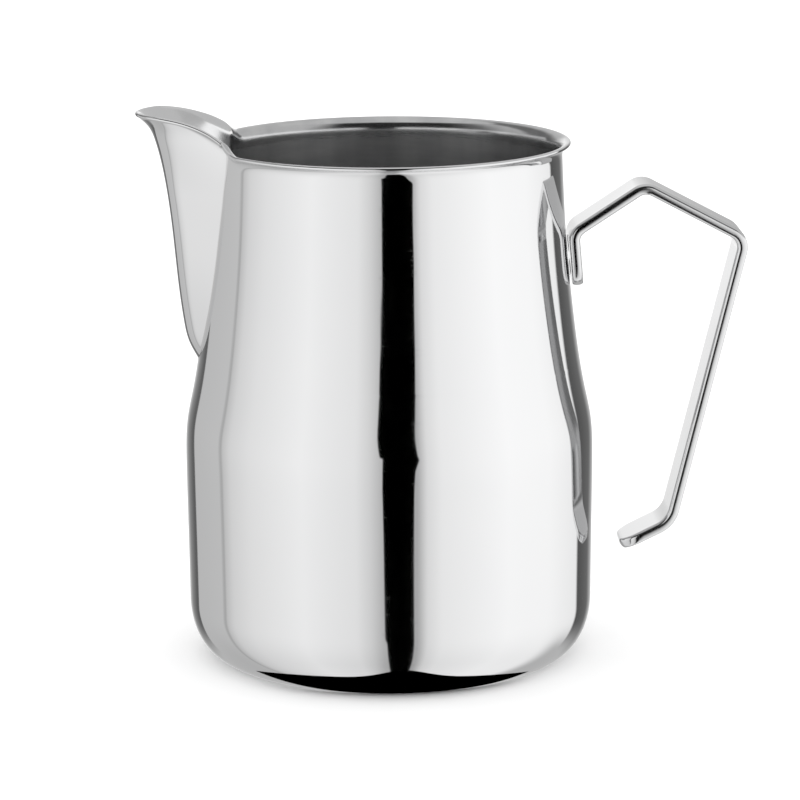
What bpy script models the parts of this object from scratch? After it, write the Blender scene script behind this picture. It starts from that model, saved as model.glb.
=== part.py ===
"""Milk frothing pitcher in polished stainless sheet, with a welded spout and a bent strip handle.

A standalone script for Blender 4.5, in metres, +Z up. The origin is the centre of the flat
base, on the axis of the body. The spout points along -X and the handle along +X.

The body, the spout and the weld between them are three cuts of one skin of sheet. A place on
that skin has a bearing, which is the angle round the axis from -X towards -Y, a station, which
is the height up the wall and then the arc length along the flared edge, and a depth into the
sheet. skin_point turns these into a position.
"""

import math

import bmesh
import bpy
import numpy as np

MM = 0.001
FIT_GAP = 0.3 * MM  # clearance between neighbouring solids

# Body: one deep-drawn cup
SHEET = 0.8 * MM
BASE_RADIUS = 35.6 * MM  # edge of the flat that it stands on
CORNER_TOP = 12.0 * MM  # the rounded bottom corner ends here
CORNER_PULL_BASE = 1.0 * MM  # reach of the corner curve's handle along the base
CORNER_PULL_WALL = 9.5 * MM  # reach of the corner curve's handle down the wall
WALL_KNOTS = (  # height and outer radius: belly, shoulder, neck
    (12.0, 42.15),
    (28.0, 42.35),
    (42.0, 42.5),
    (50.0, 42.1),
    (56.0, 40.9),
    (64.0, 39.5),
    (74.0, 38.25),
    (88.0, 36.95),
    (104.0, 36.17),
)

# Rim: the sheet flares outwards into a lip, and rises along the spout
RIM_HEIGHT = 107.8 * MM
SPOUT_RISE = 7.0 * MM  # how far the pouring edge stands above the rim
RISE_START, RISE_END = math.radians(34.5), math.radians(9.5)  # bearings where the edge climbs
CURL_START, CURL_END = math.radians(25), math.radians(14)  # bearings where the lip fades out
RIM_CURL, SPOUT_CURL = 2.5 * MM, 1.0 * MM  # radius of the flare, on the outer skin
RIM_TURN, SPOUT_TURN = math.radians(85), math.radians(45)  # how far the flare turns

# Spout: in plan a round nose between two flanks, blended into the body by a fillet
NOSE_KNOTS = (  # height, and how far the nose stands proud of the wall
    (62.9, 0.0),
    (66.4, 2.3),
    (70.5, 3.8),
    (80.0, 6.0),
    (92.0, 8.05),
    (101.0, 9.7),
    (109.0, 11.9),
    (112.0, 13.6),
    (113.6, 15.4),
)
NOSE_RADIUS_LOW, NOSE_RADIUS_TOP = 8.5 * MM, 11.5 * MM
NOSE_RADIUS_FROM, NOSE_RADIUS_TO = 98.0 * MM, 112.0 * MM
FLANK_KNOTS = (  # height, and how far the flanks face away from -X, in degrees
    (62.0, 45.0),
    (74.0, 45.0),
    (90.0, 49.5),
    (104.0, 53.5),
    (112.0, 63.0),
    (116.0, 66.0),
)
FILLET_LOW, FILLET_TOP = 1.2 * MM, 2.5 * MM
FILLET_FROM, FILLET_TO = 94.0 * MM, 107.0 * MM

# Weld bead between body and spout
BEAD_WIDTH = 0.8 * MM
UNROLL_RADIUS = 38.0 * MM  # radius that turns bearings into lengths along the seam

# Handle: a flat strip, welded on by its tab, with its lower end free
STRIP_WIDTH = 12.0 * MM
STRIP_THICKNESS = 2.2 * MM
STRIP_EDGE_RADIUS = 0.8 * MM
STRIP_END_RADIUS = 2.6 * MM
TAB_TOP_CORNER = (38.30 * MM, 88.9 * MM)
TAB_BOTTOM = (39.25 * MM, 77.5 * MM)
PEAK_CORNER = (52.9 * MM, 98.4 * MM)
OUTER_CORNER = (73.7 * MM, 87.35 * MM)
LOWER_CORNER = (58.7 * MM, 27.3 * MM)
TAIL_END = (48.25 * MM, 22.25 * MM)
HANDLE_BENDS = (  # corner, and bend radius on the strip's middle plane
    (TAB_TOP_CORNER, 3.0 * MM),
    (PEAK_CORNER, 3.4 * MM),
    (OUTER_CORNER, 3.6 * MM),
    (LOWER_CORNER, 6.0 * MM),
)

# Spot welds: nuggets fused into pockets of the tab
NUGGET_RADIUS = 1.8 * MM
NUGGET_THICKNESS = 0.6 * MM
NUGGET_PLACES = {"upper": 3.6 * MM, "lower": 8.6 * MM}  # distance up the tab from its end

# Fineness of the meshes
BODY_COLUMNS = 48
SPOUT_COLUMNS = 14
BODY_ROWS = (12.0, 24.0, 36.0, 43.0, 47.0, 51.0, 55.0, 59.0)  # heights of rows below the spout
WINDOW_ROWS = (0.8, 3.0, 8.0, 15.0, 24.0, 34.0)  # heights of rows above the spout's foot
NECK_ROWS = 2  # rows from there to the flare
SPOUT_ROWS = (0.0, 0.03, 0.09, 0.17, 0.28, 0.4, 0.53, 0.66, 0.78, 0.87, 0.94, 1.0)  # shares of its wall
CORNER_ROWS = 6
LIP_ROWS = 4
SPOUT_LIP_ROWS = 2
SEAM_POINTS = 160  # on half of the seam, up to the flare
SEAM_LIP_POINTS = 6
SEAM_SETTLING = 12  # rounds of finding where a row meets the seam
BEAD_FOOT_STEP, BEAD_STEP = 5, 9  # every so many seam points carry a point of the bead
BEAD_FOOT_POINTS = 40
BEND_STEPS = 6
END_STEPS = 4
EDGE_STEPS = 2  # on each rounded edge of the strip
NUGGET_SIDES = 20
SHARP_ANGLE = math.radians(35)
SAME_PLACE = 1e-7  # vertices nearer than this are one
NUDGE = 1e-6  # step for taking slopes of the skin


def smoothstep(value, start, end):
    """0 at start, 1 at end, with level ends; start may lie above end."""
    t = np.clip((value - start) / (end - start), 0.0, 1.0)
    return t * t * (3.0 - 2.0 * t)


def natural_spline(knots, unit_size=MM):
    """A smooth curve through knots of height and value, as a function of the height in metres.

    Heights are given in millimetres, and values in units of unit_size.
    """
    x, y = np.array(knots).T * [[MM], [unit_size]]
    step = np.diff(x)
    count = len(x)
    matrix = np.eye(count)
    right = np.zeros(count)
    for i in range(1, count - 1):
        matrix[i, i - 1 : i + 2] = step[i - 1], 2 * (step[i - 1] + step[i]), step[i]
        right[i] = 6 * ((y[i + 1] - y[i]) / step[i] - (y[i] - y[i - 1]) / step[i - 1])
    bend = np.linalg.solve(matrix, right)

    def value(at):
        i = np.clip(np.searchsorted(x, at) - 1, 0, count - 2)
        a, b, h = x[i + 1] - at, at - x[i], step[i]
        inside = (
            (bend[i] * a**3 + bend[i + 1] * b**3) / (6 * h)
            + (y[i] / h - bend[i] * h / 6) * a
            + (y[i + 1] / h - bend[i + 1] * h / 6) * b
        )
        last = count - 2
        slope = (y[-1] - y[-2]) / step[last] + bend[last] * step[last] / 6
        return np.where(at > x[-1], y[-1] + slope * (at - x[-1]), inside)

    return value


wall_radius = natural_spline(WALL_KNOTS)
nose_proud = natural_spline(NOSE_KNOTS)
flank_facing = natural_spline(FLANK_KNOTS, math.radians(1))
FOOT_HEIGHT = NOSE_KNOTS[0][0] * MM  # the spout runs out into the wall here


# ---------------------------------------------------------------- skin of the body and spout


def from_front(bearing):
    """The bearing measured from -X to either side, between 0 and half a turn."""
    return np.abs((bearing + math.pi) % (2 * math.pi) - math.pi)


def spout_section(height):
    """The spout's outline at a height: nose circle, flank line and fillet, as one dictionary.

    Bearings nose_end, flank_end and fillet_end part the nose, the flank and the fillet.
    """
    wall = wall_radius(height)
    reach = wall + np.maximum(nose_proud(height), 0.0)
    nose = NOSE_RADIUS_LOW + (NOSE_RADIUS_TOP - NOSE_RADIUS_LOW) * smoothstep(
        height, NOSE_RADIUS_FROM, NOSE_RADIUS_TO
    )
    facing = flank_facing(height)
    fillet = FILLET_LOW + (FILLET_TOP - FILLET_LOW) * smoothstep(height, FILLET_FROM, FILLET_TO)
    centre = reach - nose
    outer = wall + fillet
    flank = centre * np.cos(facing) + nose

    # The fillet's centre where the nose meets it directly, and where a straight flank lies between.
    cosine = (centre**2 + outer**2 - (nose + fillet) ** 2) / (2 * centre * outer)
    direct = np.arccos(np.clip(cosine, -1, 1))
    contact = np.arctan2(outer * np.sin(direct), outer * np.cos(direct) - centre)
    flanked = facing - np.arccos(np.clip((flank + fillet) / outer, -1, 1))
    has_flank = contact > facing
    fillet_end = np.where(has_flank, flanked, direct)
    touch = np.where(has_flank, facing, contact)
    nose_end = np.arctan2(nose * np.sin(touch), centre + nose * np.cos(touch))
    flank_end = np.arctan2(
        outer * np.sin(fillet_end) - fillet * np.sin(touch),
        outer * np.cos(fillet_end) - fillet * np.cos(touch),
    )
    present = height > FOOT_HEIGHT
    return {
        "wall": wall,
        "nose": nose,
        "centre": centre,
        "facing": facing,
        "flank": flank,
        "fillet": fillet,
        "outer": outer,
        "nose_end": np.where(present, nose_end, 0.0),
        "flank_end": np.where(present, flank_end, 0.0),
        "fillet_end": np.where(present, fillet_end, 0.0),
    }


def skin_radius(bearing, height):
    """Distance of the outer skin from the axis."""
    s = spout_section(height)
    side = from_front(bearing)
    nose_root = s["nose"] ** 2 - (s["centre"] * np.sin(side)) ** 2
    nose = s["centre"] * np.cos(side) + np.sqrt(np.maximum(nose_root, 0.0))
    flank = s["flank"] / np.cos(np.clip(side - s["facing"], -1.2, 1.2))
    off = side - s["fillet_end"]
    fillet_root = s["fillet"] ** 2 - (s["outer"] * np.sin(off)) ** 2
    fillet = s["outer"] * np.cos(off) - np.sqrt(np.maximum(fillet_root, 0.0))
    stretches = [side < s["nose_end"], side < s["flank_end"], side < s["fillet_end"]]
    return np.select(stretches, [nose, flank, fillet], s["wall"])


def on_skin(bearing, height):
    radius = skin_radius(bearing, height)
    return np.stack([-radius * np.cos(bearing), -radius * np.sin(bearing), height], -1)


def unit(vectors):
    return vectors / np.linalg.norm(vectors, axis=-1, keepdims=True)


def edge_shape(bearing):
    """Neck height, flare radius and flare turn of the sheet's edge at a bearing."""
    side = from_front(bearing)
    fade = smoothstep(side, CURL_START, CURL_END)
    curl = RIM_CURL + (SPOUT_CURL - RIM_CURL) * fade
    turn = RIM_TURN + (SPOUT_TURN - RIM_TURN) * fade
    edge_height = RIM_HEIGHT + SPOUT_RISE * smoothstep(side, RISE_START, RISE_END)
    return edge_height - (curl + SHEET) * np.sin(turn), curl, turn


def neck_station(bearing, start, share):
    """The station at a share of the way from start up to the flare."""
    neck, _, _ = edge_shape(bearing)
    return start + share * (neck - start)


def lip_station(bearing, share):
    """The station at a share of the way round the flare."""
    neck, curl, turn = edge_shape(bearing)
    return neck + curl * turn * share


def skin_point(bearing, station, depth):
    """Position of a place on the sheet; all three may be arrays."""
    bearing, station = np.broadcast_arrays(bearing, station)
    neck, curl, _ = edge_shape(bearing)
    height = np.minimum(station, neck)
    point = on_skin(bearing, height)
    along = on_skin(bearing + NUDGE, height) - on_skin(bearing - NUDGE, height)
    rising = on_skin(bearing, height + NUDGE) - on_skin(bearing, height - NUDGE)
    normal = unit(np.cross(along, rising))
    up = np.array([0.0, 0.0, 1.0])
    climb = unit(up - normal * normal[..., 2:])
    angle = (np.maximum(station - neck, 0.0) / curl)[..., None]
    curl = curl[..., None]
    return point + curl * normal - (curl + depth) * (np.cos(angle) * normal - np.sin(angle) * climb)


def seam_curve(offset):
    """Half of the weld seam moved sideways by offset, as bearings and stations from foot to edge."""
    heights = FOOT_HEIGHT + (RIM_HEIGHT - FOOT_HEIGHT) * np.linspace(0.0, 1.0, SEAM_POINTS) ** 2
    section = spout_section(heights)
    bearings = (section["flank_end"] + section["fillet_end"]) / 2
    necks, _, _ = edge_shape(bearings)
    top = np.argmin(heights < necks) - 1
    last = bearings[top]
    lip = lip_station(last, np.linspace(0.0, 1.0, SEAM_LIP_POINTS))
    stations = np.concatenate([heights[:top], lip])
    lengths = np.concatenate([bearings[:top], np.full(len(lip), last)]) * UNROLL_RADIUS
    both = np.stack([np.concatenate([-lengths[:0:-1], lengths]),
                     np.concatenate([stations[:0:-1], stations])])
    tangent = np.gradient(both, axis=1)
    tangent /= np.linalg.norm(tangent, axis=0)
    moved = both + offset * np.stack([tangent[1], -tangent[0]])
    half = moved[:, len(stations) - 1 :]
    return half[0] / UNROLL_RADIUS, half[1]


class Seam:
    """One side of the weld seam, moved sideways by offset from its middle."""

    def __init__(self, offset):
        self.bearings, self.stations = seam_curve(offset)
        self.foot = self.stations[0]

    def bearing(self, station):
        return float(np.interp(station, self.stations, self.bearings, left=0.0))

    def bearing_of_row(self, row_station):
        """The bearing at which a row whose station depends on the bearing crosses the seam."""
        bearing = self.bearings[-1]
        for _ in range(SEAM_SETTLING):
            bearing = self.bearing(row_station(bearing))
        return bearing


# ---------------------------------------------------------------- mesh making


def clear_scene():
    for existing in list(bpy.data.objects):
        bpy.data.objects.remove(existing, do_unlink=True)


def steel(name, shade, roughness):
    material = bpy.data.materials.new(name)
    material.use_nodes = True
    shader = material.node_tree.nodes["Principled BSDF"]
    shader.inputs["Base Color"].default_value = (shade, shade, shade * 1.01, 1.0)
    shader.inputs["Metallic"].default_value = 1.0
    shader.inputs["Roughness"].default_value = roughness
    return material


def add_object(name, mesh_data, material):
    """Welds the seams of the mesh, points its faces outwards and adds it to the scene."""
    bmesh.ops.remove_doubles(mesh_data, verts=mesh_data.verts, dist=SAME_PLACE)
    bmesh.ops.recalc_face_normals(mesh_data, faces=mesh_data.faces)
    if mesh_data.calc_volume(signed=True) < 0:
        bmesh.ops.reverse_faces(mesh_data, faces=mesh_data.faces)
    mesh = bpy.data.meshes.new(name)
    mesh_data.to_mesh(mesh)
    mesh_data.free()
    mesh.shade_smooth()
    mesh.set_sharp_from_angle(angle=SHARP_ANGLE)
    mesh.materials.append(material)
    obj = bpy.data.objects.new(name, mesh)
    bpy.context.scene.collection.objects.link(obj)
    return obj


def new_grid(mesh_data, points):
    """Adds a grid of vertices, rows by columns."""
    return [[mesh_data.verts.new(p) for p in row] for row in points]


def add_face(mesh_data, corners):
    """Adds a face, leaving out corners that coincide."""
    kept = []
    for corner in corners:
        if all((corner.co - other.co).length > SAME_PLACE for other in kept):
            kept.append(corner)
    if len(kept) > 2:
        mesh_data.faces.new(kept)


def add_quads(mesh_data, grid):
    for low, high in zip(grid, grid[1:]):
        for i in range(len(low) - 1):
            add_face(mesh_data, (low[i], low[i + 1], high[i + 1], high[i]))


def add_strip(mesh_data, first, second):
    """Faces between two lines of vertices."""
    for i in range(len(first) - 1):
        add_face(mesh_data, (first[i], first[i + 1], second[i + 1], second[i]))


def sheet_mesh(outer_points, inner_points, open_from=0):
    """The outer and inner skins of a sheet, closed along its top edge and its two sides.

    Below row open_from the sides meet each other, and so have no faces.
    """
    mesh_data = bmesh.new()
    outer = new_grid(mesh_data, outer_points)
    inner = new_grid(mesh_data, inner_points)
    add_quads(mesh_data, outer)
    add_quads(mesh_data, inner)
    add_strip(mesh_data, outer[-1], inner[-1])
    for column in (0, -1):
        add_strip(
            mesh_data,
            [row[column] for row in outer[open_from:]],
            [row[column] for row in inner[open_from:]],
        )
    return mesh_data, outer, inner


# ---------------------------------------------------------------- body


def corner_profile():
    """Outer radius, height and outward normal of the rounded bottom corner, base to wall."""
    top = CORNER_TOP
    slope = (wall_radius(top + 1e-5) - wall_radius(top)) / 1e-5
    down = np.array([slope, 1.0]) / math.hypot(slope, 1.0)
    start = np.array([BASE_RADIUS, 0.0])
    end = np.array([float(wall_radius(top)), top])
    handles = (start + [CORNER_PULL_BASE, 0.0], end - down * CORNER_PULL_WALL)
    t = np.linspace(0.0, 1.0, CORNER_ROWS + 1)[:-1, None]
    points = (
        (1 - t) ** 3 * start
        + 3 * (1 - t) ** 2 * t * handles[0]
        + 3 * (1 - t) * t**2 * handles[1]
        + t**3 * end
    )
    along = (
        (1 - t) ** 2 * (handles[0] - start)
        + 2 * (1 - t) * t * (handles[1] - handles[0])
        + t**2 * (end - handles[1])
    )
    along = unit(along)
    return points, np.stack([along[:, 1], -along[:, 0]], -1)


def ring(radius, height, bearings):
    return np.stack(
        [-radius * np.cos(bearings), -radius * np.sin(bearings), np.full_like(bearings, height)], -1
    )


def body_rows(window):
    """Functions that give each row's station from the bearing, from the corner up to the lip."""
    heights = [height * MM for height in BODY_ROWS] + [window.foot]
    climb = [window.foot + rise * MM for rise in WINDOW_ROWS]
    rows = [lambda bearing, h=h: h for h in heights + climb]
    for k in range(1, NECK_ROWS + 1):
        rows.append(lambda bearing, k=k / NECK_ROWS: neck_station(bearing, climb[-1], k))
    for k in range(1, LIP_ROWS + 1):
        rows.append(lambda bearing, k=k / LIP_ROWS: lip_station(bearing, k))
    return rows, len(heights) - 1


def build_body():
    window = Seam(BEAD_WIDTH / 2 + FIT_GAP)
    rows, foot_row = body_rows(window)
    shares = np.linspace(0.0, 1.0, BODY_COLUMNS + 1)
    full_turn = 2 * math.pi * shares
    outer, inner = [], []
    corner, normals = corner_profile()
    for (radius, height), (out_r, out_z) in zip(corner, normals):
        outer.append(ring(radius, height, full_turn))
        inner.append(ring(radius - SHEET * out_r, height - SHEET * out_z, full_turn))
    open_from = len(outer) + foot_row
    for row in rows:
        start = window.bearing_of_row(row)
        bearings = start + (2 * math.pi - 2 * start) * shares
        stations = np.array([float(row(b)) for b in bearings])
        outer.append(skin_point(bearings, stations, 0.0))
        inner.append(skin_point(bearings, stations, SHEET))
    mesh_data, outer_grid, inner_grid = sheet_mesh(outer, inner, open_from)
    for grid in (outer_grid, inner_grid):
        mesh_data.faces.new(grid[0][:-1])
    return add_object("body_shell", mesh_data, steel("body_polished_steel", 0.78, 0.06))


# ---------------------------------------------------------------- spout and its weld


def build_spout():
    side = Seam(-BEAD_WIDTH / 2 - FIT_GAP)
    shares = np.linspace(-1.0, 1.0, SPOUT_COLUMNS + 1)
    outer, inner = [], []
    rows = [lambda bearing, k=k: neck_station(bearing, side.foot, k) for k in SPOUT_ROWS]
    for k in range(1, SPOUT_LIP_ROWS + 1):
        rows.append(lambda bearing, k=k / SPOUT_LIP_ROWS: lip_station(bearing, k))
    for row in rows:
        bearings = side.bearing_of_row(row) * shares
        stations = np.array([float(row(b)) for b in bearings])
        outer.append(skin_point(bearings, stations, 0.0))
        inner.append(skin_point(bearings, stations, SHEET))
    mesh_data, _, _ = sheet_mesh(outer, inner)
    return add_object("spout", mesh_data, steel("spout_polished_steel", 0.78, 0.06))


def build_spout_weld():
    """The bead that fills the seam: a ribbon of sheet thickness, up one side and down the other."""
    lines = []
    for offset in (-BEAD_WIDTH / 2, BEAD_WIDTH / 2):
        bearings, stations = seam_curve(offset)
        lip = len(stations) - SEAM_LIP_POINTS
        chosen = np.concatenate([
            np.arange(0, BEAD_FOOT_POINTS, BEAD_FOOT_STEP),
            np.arange(BEAD_FOOT_POINTS, lip, BEAD_STEP),
            np.arange(lip, len(stations)),
        ])
        bearings = np.concatenate([-bearings[chosen][:0:-1], bearings[chosen]])
        stations = np.concatenate([stations[chosen][:0:-1], stations[chosen]])
        lines.append((bearings, stations))
    mesh_data = bmesh.new()
    edges = []
    for depth in (0.0, SHEET):
        for bearings, stations in lines:
            edges.append([mesh_data.verts.new(p) for p in skin_point(bearings, stations, depth)])
    loop = (edges[0], edges[1], edges[3], edges[2])
    for first, second in zip(loop, loop[1:] + loop[:1]):
        add_strip(mesh_data, first, second)
    for end in (0, -1):
        mesh_data.faces.new([line[end] for line in loop])
    return add_object("spout_weld_bead", mesh_data, steel("ground_weld_steel", 0.72, 0.18))


# ---------------------------------------------------------------- handle


def handle_path():
    """Middle line of the strip in the XZ plane, from the tab's end to the tail's end."""
    corners = [TAB_BOTTOM] + [corner for corner, _ in HANDLE_BENDS] + [TAIL_END]
    corners = [np.array(corner) for corner in corners]
    points = [corners[0]]
    for before, corner, after, (_, radius) in zip(corners, corners[1:], corners[2:], HANDLE_BENDS):
        into, out = unit(corner - before), unit(after - corner)
        turn = math.acos(float(np.clip(into @ out, -1, 1)))
        reach = radius * math.tan(turn / 2)
        inside = unit(out - into)
        centre = corner + inside * radius / math.cos(turn / 2)
        start = corner - into * reach - centre
        across = into
        for k in range(BEND_STEPS + 1):
            angle = turn * k / BEND_STEPS
            points.append(centre + start * math.cos(angle) + across * radius * math.sin(angle))
    points.append(corners[-1])
    return np.array(points)


def with_end_stations(path):
    """Adds stations near both ends, where the strip's corners are rounded off."""
    steps = [1 - math.cos(math.pi / 2 * k / END_STEPS) for k in range(END_STEPS + 1)]
    offsets = [STRIP_END_RADIUS * step for step in steps]
    head = [path[0] + unit(path[1] - path[0]) * d for d in offsets]
    tail = [path[-1] + unit(path[-2] - path[-1]) * d for d in reversed(offsets)]
    return np.array(head + list(path[1:-1]) + tail)


def half_width(distance):
    """Half of the strip's width at a distance from its nearer end."""
    short = max(STRIP_END_RADIUS - distance, 0.0)
    return STRIP_WIDTH / 2 - STRIP_END_RADIUS + math.sqrt(STRIP_END_RADIUS**2 - short**2)


def strip_outline(half):
    """Rounded cross-section: distances across the width and through the thickness."""
    radius = min(STRIP_EDGE_RADIUS, half)
    flat_width, flat_depth = half - radius, STRIP_THICKNESS / 2 - radius
    outline = []
    for quarter, (w, t) in enumerate(((1, 1), (-1, 1), (-1, -1), (1, -1))):
        for k in range(EDGE_STEPS + 1):
            angle = math.pi / 2 * (quarter + k / EDGE_STEPS)
            outline.append((w * flat_width + radius * math.cos(angle),
                            t * flat_depth + radius * math.sin(angle)))
    return outline


def build_handle():
    path = with_end_stations(handle_path())
    gaps = np.linalg.norm(np.diff(path, axis=0), axis=1)
    travelled = np.concatenate([[0.0], np.cumsum(gaps)])
    mesh_data = bmesh.new()
    rings = []
    for i, (x, z) in enumerate(path):
        before, after = path[max(i - 1, 0)], path[min(i + 1, len(path) - 1)]
        along = unit(after - before)
        left_x, left_z = -along[1], along[0]
        distance = min(travelled[i], travelled[-1] - travelled[i])
        outline = strip_outline(half_width(distance))
        rings.append([
            mesh_data.verts.new((x + left_x * t, w, z + left_z * t)) for w, t in outline
        ])
    for first, second in zip(rings, rings[1:]):
        add_strip(mesh_data, first + first[:1], second + second[:1])
    mesh_data.faces.new(rings[0])
    mesh_data.faces.new(rings[-1])
    handle = add_object("handle_strip", mesh_data, steel("handle_polished_steel", 0.78, 0.07))
    for name in NUGGET_PLACES:
        pocket = add_nugget(f"pocket_{name}", name, FIT_GAP, handle.data.materials[0])
        pocket.hide_render = True
        pocket.display_type = "WIRE"
        cut = handle.modifiers.new(f"pocket_{name}", "BOOLEAN")
        cut.object = pocket
    return handle


def add_nugget(name, place, clearance, material):
    """A disc across the tab's inner face; a clearance turns it into the pocket that holds it."""
    bottom, top = np.array(TAB_BOTTOM), np.array(TAB_TOP_CORNER)
    up = unit(top - bottom)
    inward = np.array([-up[1], up[0]])
    face = bottom + up * NUGGET_PLACES[place] + inward * STRIP_THICKNESS / 2
    near, far = face + inward * clearance, face - inward * (NUGGET_THICKNESS + clearance)
    middle, thickness = (near + far) / 2, float(np.linalg.norm(near - far))
    mesh_data = bmesh.new()
    bmesh.ops.create_cone(
        mesh_data,
        cap_ends=True,
        segments=NUGGET_SIDES,
        radius1=NUGGET_RADIUS + clearance,
        radius2=NUGGET_RADIUS + clearance,
        depth=thickness,
    )
    nugget = add_object(name, mesh_data, material)
    nugget.location = (middle[0], 0.0, middle[1])
    nugget.rotation_euler = (0.0, math.atan2(inward[0], inward[1]), 0.0)
    return nugget


def build_spot_welds():
    material = steel("spot_weld_steel", 0.6, 0.35)
    for place in NUGGET_PLACES:
        add_nugget(f"handle_spot_weld_{place}", place, 0.0, material)


clear_scene()
build_body()
build_spout()
build_spout_weld()
build_handle()
build_spot_welds()
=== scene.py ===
"""Looks of the milk frothing pitcher: polished sheet and strip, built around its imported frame.

Metres, +Z up, in the frame of the CAD model: the origin is the centre of the flat base, the
spout points along -X and the handle along +X. The fine shapes follow the same formulas as the
CAD solids, at a finer step, with the sheet's edges rounded over.
"""

import math

import bmesh
import bpy
import numpy as np
from mathutils import Matrix, Vector


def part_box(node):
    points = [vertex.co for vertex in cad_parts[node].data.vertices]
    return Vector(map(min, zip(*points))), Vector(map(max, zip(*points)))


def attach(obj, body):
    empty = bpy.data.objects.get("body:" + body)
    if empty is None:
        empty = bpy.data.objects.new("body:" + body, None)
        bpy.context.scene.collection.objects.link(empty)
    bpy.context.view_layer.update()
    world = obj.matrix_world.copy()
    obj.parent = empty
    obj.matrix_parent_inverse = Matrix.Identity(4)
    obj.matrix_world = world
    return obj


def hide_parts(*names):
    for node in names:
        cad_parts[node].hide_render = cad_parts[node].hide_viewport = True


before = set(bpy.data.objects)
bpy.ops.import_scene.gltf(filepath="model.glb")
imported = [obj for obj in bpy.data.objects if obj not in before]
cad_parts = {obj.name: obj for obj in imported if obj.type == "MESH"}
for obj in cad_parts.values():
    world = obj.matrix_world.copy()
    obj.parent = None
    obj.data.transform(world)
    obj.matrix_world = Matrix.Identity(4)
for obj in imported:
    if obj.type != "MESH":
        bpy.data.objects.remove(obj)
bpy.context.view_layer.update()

MM = 0.001

# Sheet of the body and the spout
RIM_HEIGHT = 107.8 * MM
SHEET = 0.8 * MM
BASE_RADIUS = 35.6 * MM
CORNER_TOP = 12.0 * MM
CORNER_PULL_BASE = 1.0 * MM  # reach of the corner curve's handle along the base
CORNER_PULL_WALL = 9.5 * MM  # and down the wall
WALL_KNOTS = (  # height and outer radius: belly, shoulder, neck
    (12.0, 42.15),
    (28.0, 42.35),
    (42.0, 42.495),
    (50.0, 42.1),
    (56.0, 40.9),
    (64.0, 39.5),
    (74.0, 38.25),
    (88.0, 36.95),
    (104.0, 36.17),
)
SPOUT_RISE = 7.0 * MM  # how far the spout's tip stands above the rim
RISE_START, RISE_END = math.radians(34.5), math.radians(9.5)  # bearings where the lip climbs
CURL_START, CURL_END = math.radians(25), math.radians(14)  # and where its flare changes
RIM_FLARE, SPOUT_FLARE = 3.9 * MM, 0.785 * MM  # length of sheet in the flare
RIM_TURN, SPOUT_TURN = math.radians(112), math.radians(45)
RIM_HASTE, SPOUT_HASTE = 2.2, 1.0  # 1 bends evenly; above it, the bend tightens towards the edge
FLARE_SAMPLES = 14
NOSE_KNOTS = (  # height, and how far the spout's nose stands proud of the wall
    (62.9, 0.0),
    (66.4, 2.3),
    (70.5, 3.8),
    (80.0, 6.0),
    (92.0, 8.05),
    (101.0, 9.7),
    (109.0, 11.9),
    (112.0, 13.6),
    (113.6, 15.4),
)
NOSE_RADIUS_LOW, NOSE_RADIUS_TOP = 8.5 * MM, 11.5 * MM
NOSE_RADIUS_FROM, NOSE_RADIUS_TO = 98.0 * MM, 112.0 * MM
FLANK_KNOTS = (  # height, and how far the flanks face away from -X, in degrees
    (62.0, 45.0),
    (74.0, 45.0),
    (90.0, 49.5),
    (104.0, 53.5),
    (112.0, 63.0),
    (116.0, 66.0),
)
FLANK_SIGHT = 1.2  # radians from a flank's facing direction within which its line is worked out
FILLET_LOW, FILLET_TOP = 1.2 * MM, 2.5 * MM
FILLET_FROM, FILLET_TO = 94.0 * MM, 107.0 * MM

# Weld between body and spout, ground nearly flush
BEAD_WIDTH = 0.8 * MM
BEAD_CROWN = 0.012 * MM  # height over the sheet at its middle
BEAD_SINK = 0.004 * MM  # depth of its edges under the sheet
BEAD_OVERLAP = 0.1 * MM  # how far the sheets' cut edges reach into it
UNROLL_RADIUS = 38.0 * MM  # the seam is moved sideways on the wall unrolled at this radius

# Handle strip
STRIP_WIDTH = 2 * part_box("handle_strip")[1].y
STRIP_THICKNESS = 2.195 * MM
EDGE_CROWN = 4.0 * MM  # radius of the middle of the strip's edges
EDGE_CORNER = 0.72 * MM  # radius where the edges turn into the faces
STRIP_END_RADIUS = 4.0 * MM  # its corners at both ends, seen on its face
STRIP_END_ROUNDING = 0.7 * MM  # and how far its thickness is rounded off there
TAB_TOP_CORNER = (38.30 * MM, 88.9 * MM)
TAB_BOTTOM = (39.25 * MM, 77.5 * MM)
PEAK_CORNER = (52.9 * MM, 98.4 * MM)
OUTER_CORNER = (73.7 * MM, 87.35 * MM)
LOWER_CORNER = (58.7 * MM, 27.3 * MM)
TAIL_END = (48.25 * MM, 22.25 * MM)
HANDLE_BENDS = (  # corner and radius of the middle line
    (TAB_TOP_CORNER, 3.0 * MM),
    (PEAK_CORNER, 3.4 * MM),
    (OUTER_CORNER, 3.6 * MM),
    (LOWER_CORNER, 6.0 * MM),
)
WELD_MARKS = (3.6 * MM, 8.6 * MM)  # electrode marks on the tab, distance up from its end
WELD_MARK_RADIUS = 2.1 * MM
WELD_MARK_DEPTH = 0.07 * MM

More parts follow.
